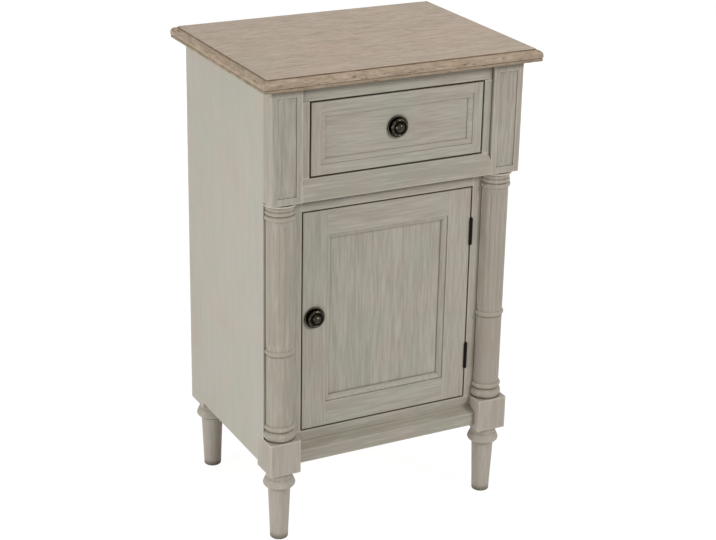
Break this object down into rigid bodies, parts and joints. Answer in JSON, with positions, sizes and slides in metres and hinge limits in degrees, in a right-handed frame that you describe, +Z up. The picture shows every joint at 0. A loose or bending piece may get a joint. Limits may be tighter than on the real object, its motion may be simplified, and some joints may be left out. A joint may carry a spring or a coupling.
{
  "type": "nightstand",
  "caption": "Painted wooden nightstand with a framed drawer over a hinged cupboard door, split columns, turned feet and a moulded washed-oak top.",
  "frame": {"origin": "middle of the top's plan, on the floor under the feet", "axes": "+X to the right seen from the front, +Y to the back, +Z up"},
  "size_m": [0.426, 0.327, 0.7],
  "materials": {
    "painted_wood": "brushed greige paint, brown glaze in the recesses",
    "oak_top": "washed oak, matt",
    "bare_wood": "sanded, unpainted",
    "bronze": "dark antique bronze",
    "steel": "zinc plated",
    "catch_plastic": "moulded"
  },
  "bodies": {
    "carcass": {"top_slab": "oak_top", "back_panel": "bare_wood", "cupboard_floor": "bare_wood", "dust_panel": "bare_wood", "drawer_guides": "bare_wood", "top_cleats": "bare_wood", "top_fixing_screws": "steel", "drawer_stops": "bare_wood", "surround_top_rail": "painted_wood", "frieze_rail": "painted_wood", "frame_top_rail": "painted_wood", "frame_bottom_rail": "painted_wood", "base_moulding": "painted_wood", "left_frame_stile": "painted_wood", "right_frame_stile": "painted_wood", "foot_hanger_bolts": "steel", "hinge_frame_leaves": "bronze", "hinge_frame_screws": "bronze", "hinge_pins": "bronze", "catch_body": "catch_plastic", "left_side_panel": "painted_wood", "right_side_panel": "painted_wood", "left_surround_stile": "painted_wood", "right_surround_stile": "painted_wood", "left_frieze_block": "painted_wood", "right_frieze_block": "painted_wood", "left_column": "painted_wood", "right_column": "painted_wood", "left_plinth_block": "painted_wood", "right_plinth_block": "painted_wood", "left_rear_block": "painted_wood", "right_rear_block": "painted_wood", "front_left_foot": "painted_wood", "front_right_foot": "painted_wood", "rear_left_foot": "painted_wood", "rear_right_foot": "painted_wood"},
    "drawer": {"drawer_left_stile": "painted_wood", "drawer_right_stile": "painted_wood", "drawer_top_rail": "painted_wood", "drawer_bottom_rail": "painted_wood", "drawer_panel": "painted_wood", "drawer_moulding": "painted_wood", "drawer_inner_front": "bare_wood", "drawer_left_side": "bare_wood", "drawer_right_side": "bare_wood", "drawer_back": "bare_wood", "drawer_bottom": "bare_wood", "drawer_knob": "bronze", "drawer_knob_screw": "steel"},
    "door": {"door_left_stile": "painted_wood", "door_right_stile": "painted_wood", "door_top_rail": "painted_wood", "door_bottom_rail": "painted_wood", "door_panel": "painted_wood", "door_moulding": "painted_wood", "door_knob": "bronze", "door_knob_screw": "steel", "hinge_door_leaves": "bronze", "hinge_door_screws": "bronze", "catch_strike_plate": "steel"}
  },
  "joints": [
    {"name": "drawer_slide", "type": "slide", "parent": "carcass", "child": "drawer", "axis": [0, -1, 0], "range_m": [0, 0.2]},
    {"name": "door_swing", "type": "hinge", "parent": "carcass", "child": "door", "pos_m": [0.1347, -0.1196, 0.32835], "axis": [0, 0, 1], "range_deg": [0, 120]}
  ]
}
